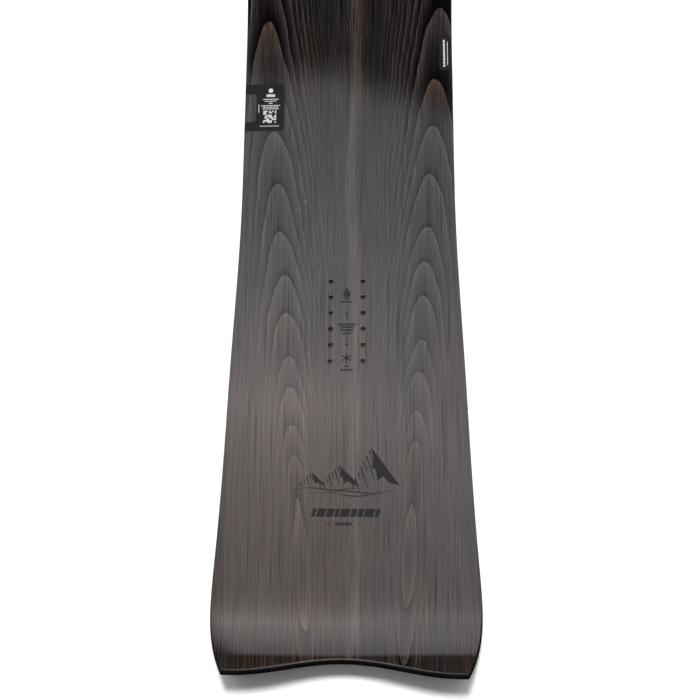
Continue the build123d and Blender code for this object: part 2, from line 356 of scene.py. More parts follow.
def half_slab(bm, s, sheets, hole, limits, seam, cut):
    """Half of a sheet from the centreline out. sheets are (perimeter, height law) of the top and bottom."""
    grids = []
    for points, z in sheets:
        rows = [row for row in half_grid(points) if limits[0] - 0.01 <= row[-1][1] <= limits[1] + 0.01]
        grids.append((rows, z))
    layers = []
    for rows, z in grids:
        layers.append([[bm.verts.new((s * x * MM, y * MM, z(y) * MM)) for x, y in row] for row in rows])
    holes = {round(y - PITCH / 2, 3): y for x, y in places if hole and x * s > 0}
    for i in range(len(layers[0]) - 1):
        centre = holes.get(round(grids[0][0][i][1][1], 3))
        for j in range(ACROSS):
            cells = [[L[i][j], L[i][j + 1], L[i + 1][j + 1], L[i + 1][j]] for L in layers]
            if j == 1 and centre is not None:
                open_cell(bm, s, centre, hole, cells, [z for _, z in grids])
                continue
            for cell in cells:
                bm.faces.new(cell)
    rims = [L[0][:-1] + [row[-1] for row in L] for L in layers]
    if limits[1] < HALF_LENGTH:
        rims = [r + L[-1][-2::-1] for r, L in zip(rims, layers)]
    for a, b, c, d in zip(rims[0], rims[0][1:], rims[1][1:], rims[1]):
        bm.faces.new((a, b, c, d)).material_index = 1 if cut else 0
    if seam:
        T, B = layers
        for i in range(len(T) - 1):
            bm.faces.new((T[i][0], T[i + 1][0], B[i + 1][0], B[i][0]))


def slab(name, side, top, bottom, top_z, bottom_z, material, hole=None, limits=(-1000.0, 1000.0), cut=None):
    """Closed sheet between two perimeters. side is -1, 1, or 0 for the full width."""
    bm = bmesh.new()
    for s in ((-1, 1) if side == 0 else (side,)):
        half_slab(bm, s, ((top, top_z), (bottom, bottom_z)), hole, limits, side != 0, cut)
    return finish_mesh(name, bm, material, cut=cut)


def swept(name, stations, corners, material):
    """Closed strip whose section has the given (perimeter, height law) corners."""
    bm = bmesh.new()
    rails = []
    for points, z in corners:
        rail = []
        for s, i in stations:
            x, y = points[i]
            rail.append(bm.verts.new((s * x * MM, y * MM, z(y) * MM)))
        rails.append(rail)
    for a, b in zip(rails, rails[1:] + rails[:1]):
        for i in range(len(stations) - 1):
            bm.faces.new((a[i], a[i + 1], b[i + 1], b[i]))
    bm.faces.new([r[0] for r in rails])
    bm.faces.new([r[-1] for r in rails])
    return finish_mesh(name, bm, material)


def joined(name, *pieces):
    """One piece made of several closed meshes."""
    first = pieces[0]
    with bpy.context.temp_override(active_object=first, selected_editable_objects=list(pieces)):
        bpy.ops.object.join()
    first.name = name
    return first


DRAPE_STEP, SUNK = 8.0, 0.02


def draped(name, shapes, top_z, material, proud=0.05):
    """Thin print of plan polygons that follows the top face."""
    bm = bmesh.new()
    for shape in shapes:
        bm.faces.new([bm.verts.new((x * MM, y * MM, 0.0)) for x, y in shape])
    bmesh.ops.triangulate(bm, faces=bm.faces)
    ys = [v.co.y / MM for v in bm.verts]
    cut = min(ys) + DRAPE_STEP
    while cut < max(ys):
        everything = bm.verts[:] + bm.edges[:] + bm.faces[:]
        bmesh.ops.bisect_plane(bm, geom=everything, plane_co=(0, cut * MM, 0), plane_no=(0, 1, 0))
        cut += DRAPE_STEP
    bmesh.ops.dissolve_degenerate(bm, edges=bm.edges, dist=1e-6)
    for f in bm.faces:
        if f.normal.z < 0:
            f.normal_flip()
    skin = bmesh.ops.extrude_face_region(bm, geom=bm.faces[:])
    raised = {part for part in skin["geom"] if isinstance(part, bmesh.types.BMVert)}
    for v in bm.verts:
        level = proud if v in raised else -SUNK
        v.co.z = (top_z(v.co.y / MM) + level) * MM
    return finish_mesh(name, bm, material)


# ---------------------------------------------------------------- materials
class Graph:
    """Short names for the shader nodes of one material or world."""

    def __init__(self, tree):
        self.tree = tree

    def put(self, socket, value):
        if isinstance(value, bpy.types.NodeSocket):
            self.tree.links.new(value, socket)
        else:
            socket.default_value = value

    def math(self, op, *values, clamp=False):
        node = self.tree.nodes.new("ShaderNodeMath")
        node.operation = op
        node.use_clamp = clamp
        for socket, value in zip(node.inputs, values):
            self.put(socket, value)
        return node.outputs[0]

    def total(self, first, *others):
        for other in others:
            first = self.math("ADD", first, other)
        return first

    def times(self, first, *others):
        for other in others:
            first = self.math("MULTIPLY", first, other)
        return first

    def ramp(self, value, a, b, c=0.0, d=1.0, kind="SMOOTHSTEP"):
        node = self.tree.nodes.new("ShaderNodeMapRange")
        node.interpolation_type = kind
        for key, v in zip(("Value", "From Min", "From Max", "To Min", "To Max"), (value, a, b, c, d)):
            self.put(node.inputs[key], v)
        return node.outputs[0]

    def hill(self, value, centre, spread):
        """Bell curve of height 1."""
        u = self.math("DIVIDE", self.math("SUBTRACT", value, centre), spread)
        return self.math("EXPONENT", self.math("MULTIPLY", self.math("MULTIPLY", u, u), -1.0))

    def vector(self, x, y, z=0.0):
        node = self.tree.nodes.new("ShaderNodeCombineXYZ")
        for socket, value in zip(node.inputs, (x, y, z)):
            self.put(socket, value)
        return node.outputs[0]

    def noise(self, x, y, z, detail=2.0, rough=0.5):
        """Noise around zero, about -0.5 to 0.5."""
        node = self.tree.nodes.new("ShaderNodeTexNoise")
        node.inputs["Scale"].default_value = 1.0
        node.inputs["Detail"].default_value = detail
        node.inputs["Roughness"].default_value = rough
        self.put(node.inputs["Vector"], self.vector(x, y, z))
        return self.math("SUBTRACT", node.outputs["Fac"], 0.5)

    def streaks(self, x, y, width, length, z, detail=2.0, rough=0.5):
        """Noise stretched to about width by length mm."""
        return self.noise(self.math("DIVIDE", x, width), self.math("DIVIDE", y, length), z, detail, rough)

    def mix(self, factor, a, b, kind="MIX"):
        node = self.tree.nodes.new("ShaderNodeMix")
        node.data_type = "RGBA"
        node.blend_type = kind
        self.put(node.inputs["Factor"], factor)
        for key, v in (("A", a), ("B", b)):
            socket = [s for s in node.inputs if s.name == key and s.type == "RGBA"][0]
            self.put(socket, (*v, 1.0) if isinstance(v, tuple) else v)
        return [s for s in node.outputs if s.type == "RGBA"][0]

    def colours(self, value, stops):
        node = self.tree.nodes.new("ShaderNodeValToRGB")
        band = node.color_ramp.elements
        while len(band) < len(stops):
            band.new(0.5)
        for element, (place, colour) in zip(band, stops):
            element.position = place
            element.color = (*colour, 1.0)
        self.put(node.inputs["Fac"], value)
        return node.outputs["Color"]

    def bump(self, height, distance):
        """Bump of a height in mm."""
        node = self.tree.nodes.new("ShaderNodeBump")
        node.inputs["Strength"].default_value = 1.0
        node.inputs["Distance"].default_value = distance * MM
        self.put(node.inputs["Height"], height)
        return node.outputs["Normal"]


def axes(tree, output):
    """Coordinates X, Y and Z of a texture coordinate output."""
    coord = tree.nodes.new("ShaderNodeTexCoord")
    split = tree.nodes.new("ShaderNodeSeparateXYZ")
    tree.links.new(coord.outputs[output], split.inputs[0])
    return split.outputs


def new_material(name, roughness, **sockets):
    """Material, its node graph, its shader, and the place on the object in mm."""
    m = bpy.data.materials.new(name)
    m.use_nodes = True
    shader = m.node_tree.nodes["Principled BSDF"]
    shader.inputs["Roughness"].default_value = roughness
    for key, value in sockets.items():
        shader.inputs[key.replace("_", " ")].default_value = value
    g = Graph(m.node_tree)
    return m, g, shader, [g.math("MULTIPLY", s, 1.0 / MM) for s in axes(m.node_tree, "Object")]


# Heart of each veneer leaf: x at y = 0, lean, and how far the figure is shifted along the board
LEAF = {"left": (-104.9, -0.081, 0.0), "right": (116.6, 0.0648, 17.0)}
LEAF_EYE = -680.0
RING = 5.0
RING_STOPS = (
    (0.00, (0.0018, 0.0015, 0.0021)),
    (0.10, (0.0028, 0.0024, 0.0030)),
    (0.26, (0.0068, 0.0058, 0.0061)),
    (0.52, (0.0135, 0.0114, 0.0107)),
    (0.84, (0.0280, 0.0232, 0.0202)),
    (0.97, (0.0440, 0.0364, 0.0314)),
)
BLUE_GREY, BROWN = (0.82, 0.89, 1.06), (1.25, 1.02, 0.87)
SAPWOOD, HEARTWOOD = (0.062, 0.048, 0.039), (0.0055, 0.0050, 0.0062)
PITH_SLOPE = 0.0925
KNOT_FIBRE, OPEN_PORE = (0.075, 0.066, 0.056), (0.0022, 0.0019, 0.0021)


def distance_across(g, x, y, side, seed, fine):
    """Distance from the leaf's heart line in mm, stretched outward and inward by different laws."""
    name, s = side
    x0, lean, _ = LEAF[name]
    wander = g.times(g.streaks(x, y, 45.0, 120.0, seed), 9.0)
    heart = g.math("ADD", g.times(y, lean), x0)
    u = g.total(g.math("SUBTRACT", x, heart), wander, fine)
    out = g.times(g.math("MAXIMUM", g.times(u, s), 0.0), 0.82)
    out = g.math("ADD", out, g.times(out, out, 0.0045))
    inn = g.math("MAXIMUM", g.times(u, -s), 0.0)
    inn = g.math("ADD", inn, g.times(inn, inn, 0.0022))
    return g.math("ADD", out, inn)


def depth_of_pith(g, x, y, side, seed):
    """Depth of the growth rings' centre under the veneer's face, in mm."""
    name, s = side
    away = g.math("SUBTRACT", y, LEAF_EYE + LEAF[name][2])
    soft = g.math("SQRT", g.math("ADD", g.times(away, away), 225.0))
    depth = g.math("ADD", g.times(soft, PITH_SLOPE), 4.5)
    bend = g.math("DIVIDE", g.math("SUBTRACT", away, 390.0), 118.0)
    bend = g.math("SUBTRACT", 2.6, g.times(bend, bend))
    depth = g.math("ADD", depth, g.times(bend, g.ramp(away, 50.0, 130.0)))
    if s < 0:
        lift = g.times(g.ramp(away, 405.0, 465.0, 0.0, 1.2), g.ramp(away, 660.0, 550.0))
        depth = g.math("SUBTRACT", depth, lift)
    wander = g.times(g.streaks(x, y, 26.0, 90.0, seed + 5), 13.0)
    return g.math("ADD", depth, g.times(wander, PITH_SLOPE))


def ring_place(g, y, field, across, depth):
    """Place within a growth ring, 0 to 1, and how straight the grain is, 0 to 1."""
    ring = g.math("FRACT", g.math("DIVIDE", field, RING))
    # in straight grain the pale wood fills most of a ring, in the leaf it fades in slowly
    straight = g.ramp(g.math("DIVIDE", across, depth), 0.3, 1.6)
    fill = g.math("SUBTRACT", g.ramp(y, -330.0, -480.0, 1.0, 0.6), g.times(straight, 0.68))
    return g.math("POWER", ring, g.math("MAXIMUM", fill, 0.2)), straight


def stain_patches(g, wood, x, y, s, seed, tone):
    """Broad blue-grey and brown patches, browner to the tail."""
    patch = g.streaks(x, y, 34.0, 170.0, seed + 13)
    patch = g.math("ADD", patch, g.times(tone, 0.55))
    brown = g.ramp(y, -300.0, -480.0, -0.12, 0.22 if s < 0 else -0.02)
    brown = g.math("ADD", brown, g.ramp(y, -110.0, -20.0, 0.0, 0.08))
    hue = g.ramp(g.math("ADD", patch, brown), -0.3, 0.3)
    return g.mix(1.0, wood, g.mix(hue, BLUE_GREY, BROWN), "MULTIPLY")


def seam_stripe(g, wood, x, y, fine):
    """Pale sapwood stripe by the seam."""
    middle = g.math("SUBTRACT", 10.0, g.times(g.hill(y, -200.0, 75.0), 7.0))
    off = g.math("ABSOLUTE", g.math("SUBTRACT", g.math("ADD", x, g.times(fine, 1.5)), middle))
    streak = g.streaks(x, y, 1.3, 120.0, 3.0)
    seam = g.times(g.ramp(off, 10.5, 3.0), g.ramp(streak, -0.14, 0.10, 0.15, 1.0))
    return g.mix(g.times(seam, 0.76), wood, SAPWOOD)


def dark_bands(g, wood, x, y):
    """Dark heartwood bands either side of the stripe toward the nose."""
    bands = g.math("ADD", g.hill(x, -30.0, 12.0), g.hill(x, 33.0, 14.0))
    return g.mix(g.times(bands, g.ramp(y, -260.0, -120.0, 0.0, 0.45)), wood, HEARTWOOD)


def knot(g, wood, x, y):
    """Two pale flecks of a small knot."""
    upper = g.times(g.hill(x, -53.5, 2.6), g.hill(y, -226.0, 1.8))
    lower = g.times(g.hill(x, -62.0, 2.6), g.hill(y, -237.0, 1.6))
    return g.mix(g.math("MULTIPLY", g.math("ADD", upper, lower), 0.8, clamp=True), wood, KNOT_FIBRE)


def grain_with_painted_shade(g, x, y, seed, fibre):
    """Brightness of the long fibres, times painted shade by the tail's edge."""
    broad = g.streaks(x, y, 2.6, 110.0, seed + 27)
    lines = g.streaks(x, y, 1.5, 75.0, seed + 24, 1.0)
    grain = g.total(g.times(fibre, 1.6), g.times(broad, 1.9), g.times(lines, 2.4), 1.0)
    grain = g.math("MAXIMUM", grain, 0.12)
    # painted shade: the wood is darkened toward the tail's edge
    return g.times(grain, g.ramp(y, -755.0, -775.0, 1.0, 0.68))


def lacquer(g, shader, x, y, seed, ring, pore):
    """Clear coat, thinner over open pores and late wood."""
    gap = g.ramp(g.streaks(x, y, 1.6, 150.0, seed + 51, 3.0, 0.6), 0.0, 0.2)
    thin = g.total(g.times(gap, 0.52), g.times(g.ramp(ring, 0.2, 0.02), 0.24), g.times(pore, 0.35))
    g.put(shader.inputs["Coat Weight"], g.math("SUBTRACT", 1.0, thin))
    peel = g.streaks(x, y, 5.0, 9.0, seed + 41, 1.0)
    g.put(shader.inputs["Coat Normal"], g.bump(peel, 0.012))


def veneer_material(side):
    """Stained ash under clear lacquer, with the leaf figure of a flat-sawn log."""
    name, s = side
    m, g, shader, (x, y, z) = new_material(f"stained_ash_{name}", 0.62, Coat_Roughness=0.07, Coat_IOR=1.62,
                                           Specular_IOR_Level=0.0)
    seed = 7.0 if s > 0 else 31.0
    fine = g.times(g.streaks(x, y, 7.0, 60.0, seed + 9), 1.3)
    across = distance_across(g, x, y, side, seed, fine)
    depth = depth_of_pith(g, x, y, side, seed)
    field = g.math("SQRT", g.math("ADD", g.times(across, across), g.times(depth, depth)))
    uneven = g.times(g.noise(g.math("DIVIDE", field, 8.0), seed, 0.0, 1.0), 4.0)
    field = g.math("ADD", field, uneven)
    ring, straight = ring_place(g, y, field, across, depth)
    tone = g.noise(g.times(g.math("FLOOR", g.math("DIVIDE", field, RING)), 3.7), seed, 0.0, 0.0)
    wood = g.colours(g.times(ring, g.math("SUBTRACT", 1.0, g.times(straight, 0.25))), RING_STOPS)
    wood = stain_patches(g, wood, x, y, s, seed, tone)
    wood = seam_stripe(g, wood, x, y, fine)
    wood = dark_bands(g, wood, x, y)
    if s < 0:
        wood = knot(g, wood, x, y)
    fibre = g.streaks(x, y, 0.75, 38.0, seed + 21, 3.0, 0.65)
    # grain includes the painted shade by the tail's edge
    grain = grain_with_painted_shade(g, x, y, seed, fibre)
    wood = g.mix(1.0, wood, g.vector(grain, grain, grain), "MULTIPLY")
    pore = g.ramp(g.streaks(x, y, 0.32, 5.0, seed + 33, 1.0), 0.10, 0.20)
    pore = g.times(pore, g.math("ADD", g.times(g.ramp(ring, 0.55, 0.05), 0.55), 0.3))
    g.put(shader.inputs["Base Color"], g.mix(pore, wood, OPEN_PORE))
    g.put(shader.inputs["Roughness"], g.ramp(ring, 0.0, 1.0, 0.5, 0.68))
    g.put(shader.inputs["Normal"], g.bump(g.math("SUBTRACT", g.times(fibre, 0.4), pore), 0.05))
    lacquer(g, shader, x, y, seed, ring, pore)
    return m


def edge_material():
    m, g, shader, (x, y, z) = new_material("ground_edge_steel", 0.3, Metallic=1.0)
    line = g.streaks(x, y, 0.25, 14.0, g.math("DIVIDE", z, 0.12), 3.0, 0.6)
    stain = g.streaks(x, y, 30.0, 45.0, 4.0, 3.0)
    g.put(shader.inputs["Base Color"], g.mix(g.ramp(g.math("ADD", line, stain), -0.4, 0.4),
                                             (0.36, 0.36, 0.37), (0.62, 0.62, 0.61)))
    g.put(shader.inputs["Roughness"], g.ramp(line, -0.3, 0.3, 0.22, 0.42, "LINEAR"))
    g.put(shader.inputs["Normal"], g.bump(line, 0.02))
    return m


def insert_material():
    m, g, shader, (x, y, z) = new_material("turned_stainless", 0.25, Metallic=1.0)
    turn = g.noise(0.0, 0.0, g.math("DIVIDE", z, 0.15), 2.0)
    stain = g.streaks(x, y, 3.0, 3.0, 2.0, 3.0)
    bright = g.mix(g.ramp(stain, -0.3, 0.3), (0.45, 0.44, 0.43), (0.75, 0.75, 0.74))
    # painted shade: the bore is darkened deeper down, where little light reaches
    g.put(shader.inputs["Base Color"], g.mix(g.ramp(z, 8.9, 5.2), bright, (0.045, 0.042, 0.038)))
    g.put(shader.inputs["Roughness"], g.ramp(turn, -0.3, 0.3, 0.2, 0.4, "LINEAR"))
    g.put(shader.inputs["Normal"], g.bump(turn, 0.01))
    return m


def abs_material(name, colour):
    """Milled and sanded plastic."""
    m, g, shader, (x, y, z) = new_material(name, 0.5, Specular_IOR_Level=0.006)
    mill = g.streaks(x, y, 1.2, 9.0, g.math("DIVIDE", z, 0.15), 3.0, 0.6)
    cloud = g.streaks(x, y, 40.0, 60.0, 1.0, 3.0)
    light = tuple(c * 1.7 for c in colour)
    g.put(shader.inputs["Base Color"], g.mix(g.ramp(g.math("ADD", mill, cloud), -0.4, 0.4), colour, light))
    g.put(shader.inputs["Roughness"], g.ramp(mill, -0.3, 0.3, 0.26, 0.4, "LINEAR"))
    g.put(shader.inputs["Normal"], g.bump(mill, 0.03))
    return m


def base_material():
    """Sintered running base with a stone-ground structure."""
    m, g, shader, (x, y, z) = new_material("sintered_base", 0.4, Specular_IOR_Level=0.4)
    drift = g.math("MULTIPLY", g.streaks(x, y, 30.0, 80.0, 1.0), 1.5)
    groove = g.math("SINE", g.math("MULTIPLY", g.math("ADD", x, drift), 2.0 * pi / 0.9))
    scratch = g.streaks(x, y, 0.4, 55.0, 6.0, 3.0, 0.65)
    grit = g.streaks(x, y, 0.35, 0.35, 8.0, 2.0)
    wax = g.streaks(x, y, 55.0, 130.0, 11.0, 3.0)
    shade = g.total(g.times(scratch, 0.8), g.times(grit, 0.5), wax)
    colour = g.mix(g.ramp(shade, -0.4, 0.4), (0.010, 0.010, 0.011), (0.026, 0.026, 0.028))
    g.put(shader.inputs["Base Color"], colour)
    g.put(shader.inputs["Roughness"], g.ramp(g.math("ADD", wax, scratch), -0.4, 0.4, 0.3, 0.52, "LINEAR"))
    height = g.math("ADD", g.times(groove, 0.25), scratch)
    g.put(shader.inputs["Normal"], g.bump(height, 0.02))
    return m


def glass_material():
    """Resin laminate: woven glass seen through dark resin."""
    m, g, shader, (x, y, z) = new_material("glass_laminate", 0.45, Specular_IOR_Level=0.04)
    warp = g.math("SINE", g.math("MULTIPLY", x, 2.0 * pi / 2.2))
    weft = g.math("SINE", g.math("MULTIPLY", y, 2.0 * pi / 2.2))
    weave = g.math("MULTIPLY", warp, weft)
    cloud = g.streaks(x, y, 9.0, 9.0, z, 3.0)
    g.put(shader.inputs["Base Color"], g.mix(g.ramp(g.math("ADD", weave, cloud), -1.2, 1.2),
                                             (0.0010, 0.0010, 0.0010), (0.0036, 0.0034, 0.0032)))
    g.put(shader.inputs["Roughness"], g.ramp(cloud, -0.3, 0.3, 0.3, 0.5, "LINEAR"))
    return m


def rubber_material():
    m, g, shader, (x, y, z) = new_material("damping_rubber", 0.75, Specular_IOR_Level=0.25)
    grit = g.noise(x, y, z, 3.0)
    colour = g.mix(g.ramp(grit, -0.3, 0.3), (0.008, 0.008, 0.008), (0.02, 0.02, 0.02))
    g.put(shader.inputs["Base Color"], colour)
    g.put(shader.inputs["Normal"], g.bump(grit, 0.03))
    return m


def core_material(name, dark, light, shine=0.3):
    """Sawn core strip with its growth rings along the board."""
    m, g, shader, (x, y, z) = new_material(name, 0.7, Specular_IOR_Level=shine)
    wander = g.math("MULTIPLY", g.streaks(x, y, 20.0, 260.0, 3.0), 14.0)
    rings = g.math("FRACT", g.math("DIVIDE", g.total(x, wander, z), 3.4))
    fibre = g.streaks(x, y, 0.6, 30.0, z, 3.0, 0.65)
    shade = g.math("ADD", g.times(rings, 0.6), fibre)
    g.put(shader.inputs["Base Color"], g.mix(g.ramp(shade, -0.1, 0.8), dark, light))
    g.put(shader.inputs["Normal"], g.bump(fibre, 0.05))
    return m


def label_material():
    m, g, shader, (x, y, z) = new_material("satin_film", 0.32, Specular_IOR_Level=0.22)
    cloud = g.streaks(x, y, 11.0, 11.0, 2.0, 3.0)
    grain = g.noise(x, y, 5.0, 2.0)
    shade = g.math("ADD", cloud, g.times(grain, 0.5))
    colour = g.mix(g.ramp(shade, -0.3, 0.3), (0.0070, 0.0060, 0.0080), (0.0100, 0.0088, 0.0112))
    g.put(shader.inputs["Base Color"], colour)
    g.put(shader.inputs["Roughness"], g.ramp(cloud, -0.3, 0.3, 0.26, 0.38, "LINEAR"))
    g.put(shader.inputs["Normal"], g.bump(cloud, 0.02))
    return m


def ink_material(name, dark, light, roughness):
    m, g, shader, (x, y, z) = new_material(name, roughness, Specular_IOR_Level=0.3)
    spread = g.streaks(x, y, 0.5, 1.4, 2.0, 3.0, 0.7)
    g.put(shader.inputs["Base Color"], g.mix(g.ramp(spread, -0.25, 0.25), dark, light))
    g.put(shader.inputs["Normal"], g.bump(spread, 0.01))
    return m


SIDES = (("left", -1), ("right", 1))
veneer = {name: veneer_material((name, s)) for name, s in SIDES}
steel = edge_material()
turned = insert_material()
black_abs = abs_material("black_abs", (0.0012, 0.0012, 0.0013))
base_pe = base_material()
laminate = glass_material()
rubber = rubber_material()
soft_wood = core_material("poplar", (0.50, 0.38, 0.22), (0.80, 0.67, 0.46))
hard_wood = core_material("beech", (0.36, 0.22, 0.12), (0.60, 0.42, 0.25))
cut_ash = core_material("cut_ash", (0.003, 0.0026, 0.0022), (0.010, 0.0085, 0.007), 0.03)
film = label_material()
dark_ink = ink_material("dark_ink", (0.010, 0.009, 0.010), (0.018, 0.016, 0.017), 0.42)
pale_ink = ink_material("pale_ink", (0.42, 0.42, 0.43), (0.62, 0.62, 0.63), 0.45)

# ---------------------------------------------------------------- the board
known_rims = {}


def rim(key):
    """Perimeter at a plain inset in mm, or on the bevel at a named height."""
    laws = {"core": over_core(0.0), "glass": over_core(GLASS_T), "sheet": sheet_top}
    if key not in known_rims:
        law = laws.get(key)
        known_rims[key] = perimeter(bevelled(law), law) if law else perimeter(plain(key))
    return known_rims[key]


COUNT = len(rim(0.0))


def station(y):
    """Index of the perimeter row nearest to y."""
    return min(range(ACROSS + CORNER, COUNT), key=lambda i: abs(rim(0.0)[i][1] - y))


TAIL_END_ROW, NOSE_END_ROW = station(TAIL_JOINT), station(NOSE_JOINT)


def place(piece, slot, *nodes):
    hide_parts(*nodes)
    return piece


def section(*corners):
    """Section of a strip, from (inset or bevel key, height law) corners."""
    return [(rim(key), z) for key, z in corners]


EDGE = section((0.0, over_base(0.0)), (EDGE_W, over_base(0.0)), (EDGE_W, over_base(BASE_T)),
               (FLANGE_W, over_base(BASE_T)), (FLANGE_W, over_base(EDGE_H)), (0.0, over_base(EDGE_H)))
FOIL = section((0.0, over_base(EDGE_H)), (FLANGE_W, over_base(EDGE_H)),
               (FLANGE_W, over_base(FOIL_Z)), (0.0, over_base(FOIL_Z)))
WALL = section((0.0, over_base(RING_Z)), (0.0, over_base(BEVEL_Z)), ("core", over_core(0.0)),
               (WALL_W, over_core(0.0)), (WALL_W, over_base(RING_Z)))
STEP = section((0.0, over_base(FOIL_Z)), (0.0, over_base(RING_Z)), (WALL_W, over_base(RING_Z)),
               (WALL_W, over_base(CORE_Z)), (FLANGE_W, over_base(CORE_Z)), (FLANGE_W, over_base(FOIL_Z)))


def veneer_sheet(name, s):
    sheet = slab(f"sheet_{name}", s, rim("sheet"), rim("glass"), sheet_top, over_core(GLASS_T), veneer[name],
                 HOLE_R, cut=cut_ash)
    place(sheet, "veneer", f"veneer_{name}")


def side_strips(name, s):
    whole = [(s, i) for i in range(COUNT)]
    middle = [(s, i) for i in range(TAIL_END_ROW, NOSE_END_ROW + 1)]
    place(swept(f"edge_{name}", whole, EDGE, steel), "edge_steel", f"steel_edge_{name}")
    place(swept(f"foil_{name}", whole, FOIL, rubber), "foil_rubber", f"rubber_foil_{name}")
    place(swept(f"wall_{name}", middle, WALL, black_abs), "sidewall_abs", f"sidewall_{name}")


def laminates():
    upper = slab("glass_upper", 0, rim("glass"), rim("core"), over_core(GLASS_T), over_core(0.0), laminate,
                 BARREL_R)
    place(upper, "glass_laminate", "glass_top")
    all_round = [(-1, i) for i in range(COUNT - 1, 0, -1)] + [(1, i) for i in range(COUNT)]
    step = swept("glass_step", all_round, STEP, laminate)
    flat_rim = rim(FLANGE_W)
    flat = slab("glass_flat", 0, flat_rim, flat_rim, over_base(CORE_Z), over_base(BASE_T), laminate)
    place(joined("glass_lower", step, flat), "glass_laminate", "glass_bottom")


def running_base():
    base = slab("base", 0, rim(EDGE_W), rim(EDGE_W), over_base(BASE_T), over_base(0.0), base_pe)
    place(base, "base_polyethylene", "base_sheet")


def end_spacer(end):
    """Plastic block that closes one end of the core, with its bevelled rim."""
    if end == "tail":
        stations = [(-1, i) for i in range(TAIL_END_ROW, 0, -1)] + [(1, i) for i in range(TAIL_END_ROW + 1)]
        limits = (-1000.0, TAIL_JOINT)
    else:
        stations = [(1, i) for i in range(NOSE_END_ROW, COUNT)]
        stations += [(-1, i) for i in range(COUNT - 2, NOSE_END_ROW - 1, -1)]
        limits = (NOSE_JOINT, 1000.0)
    block = slab(f"block_{end}", 0, rim(WALL_W), rim(WALL_W), over_core(0.0), over_base(CORE_Z), black_abs,
                 limits=limits)
    strip = swept(f"rim_{end}", stations, WALL, black_abs)
    place(joined(f"end_spacer_{end}", strip, block), "spacer_abs", f"spacer_{end}")


THREAD_SIDES, THREAD_RINGS = 32, 44
CENTRE_R = 0.001


def thread(a, z):
    """Radius of the M6 thread at an angle and a height."""
    turn = (z / THREAD_PITCH - a / (2.0 * pi)) % 1.0
    return BORE_R + THREAD_DEPTH * (1.0 - abs(2.0 * turn - 1.0))


def insert_ring(bm, cx, cy, radius, z):
    """Ring of points. radius is a number, or a law of angle and height."""
    loop = []
    for k in range(THREAD_SIDES):
        a = 2.0 * pi * k / THREAD_SIDES
        r = radius(a, z) if callable(radius) else radius
        loop.append(bm.verts.new(((cx + r * cos(a)) * MM, (cy + r * sin(a)) * MM, z * MM)))
    return loop


def insert_mesh(name, spots):
    """Flanged screw inserts with a real thread."""
    flange_z, mouth_z = CORE_Z + FLANGE_T, BARREL_TOP - (MOUTH_R - BORE_R)
    profile = [(CENTRE_R, CORE_Z), (FLANGE_R, CORE_Z), (FLANGE_R, flange_z), (BARREL_R, flange_z),
               (BARREL_R, BARREL_TOP), (MOUTH_R, BARREL_TOP)]
    for i in range(THREAD_RINGS + 1):
        profile.append((thread, mouth_z + (BORE_FLOOR - mouth_z) * i / THREAD_RINGS))
    profile.append((CENTRE_R, BORE_FLOOR))
    bm = bmesh.new()
    for cx, cy in spots:
        rings = [insert_ring(bm, cx, cy, radius, z) for radius, z in profile]
        for a, b in zip(rings, rings[1:]):
            for k in range(THREAD_SIDES):
                n = (k + 1) % THREAD_SIDES
                bm.faces.new((a[k], a[n], b[n], b[k]))
    return finish_mesh(name, bm, turned, 25.0)


for name, s in SIDES:
    veneer_sheet(name, s)
    side_strips(name, s)
laminates()
running_base()
for end in ("tail", "nose"):
    end_spacer(end)

half = len(insert_rows) // 2
rows_of = {"rear": insert_rows[:half], "front": insert_rows[half:]}
for pack, ys in rows_of.items():
    piece = insert_mesh(f"threaded_{pack}", [(x, y) for x, y in sorted(places) if y in ys])
    place(piece, "insert_steel", f"inserts_{pack}")


def finish_of(name):
    """Material of a CAD node that keeps its shape, or None."""
    if name.startswith("label"):
        return film
    if name.startswith("core"):
        return hard_wood if "stringer" in name or "rail" in name else soft_wood
    return None


for name, node in frame["nodes"].items():
    if finish_of(name):
        node.data.materials.clear()
        node.data.materials.append(finish_of(name))

# ---------------------------------------------------------------- prints
def bar(x, y, w, h, slant=0.0):
    return [(x - w / 2 - slant, y - h / 2), (x + w / 2 - slant, y - h / 2), (x + w / 2 + slant, y + h / 2),
            (x - w / 2 + slant, y + h / 2)]


def disc(x, y, r, n=24):
    return [(x + r * cos(2 * pi * k / n), y + r * sin(2 * pi * k / n)) for k in range(n)]


def broken_bar(x, y, w, h, parts, slant=0.0):
    """Row of short blocks of uneven width, in place of a line of text."""
    widths = [1.0 + 0.45 * sin(2.3 * i + w) for i in range(parts)]
    gap = 0.16 * w / parts
    scale = (w - gap * (parts - 1)) / sum(widths)
    shapes, left = [], x - w / 2
    for width in widths:
        shapes.append(bar(left + width * scale / 2, y, width * scale, h, slant))
        left += width * scale + gap
    return shapes


def drop(x, y, r):
    """Rounded drop with its tip to the nose."""
    points = []
    for k in range(25):
        a = pi * (0.62 + 1.76 * k / 24)
        points.append((x + r * cos(a), y - 0.35 * r + r * sin(a)))
    points.append((x, y + 1.75 * r))
    return points


def star(x, y, r):
    """Three crossed bars."""
    arms = []
    for k in range(3):
        a = pi / 2 + pi * k / 3
        cx, cy = r * cos(a), r * sin(a)
        wx, wy = -0.11 * cy, 0.11 * cx
        arms.append([(x + cx + wx, y + cy + wy), (x - cx + wx, y - cy + wy),
                     (x - cx - wx, y - cy - wy), (x + cx - wx, y + cy - wy)])
    return arms


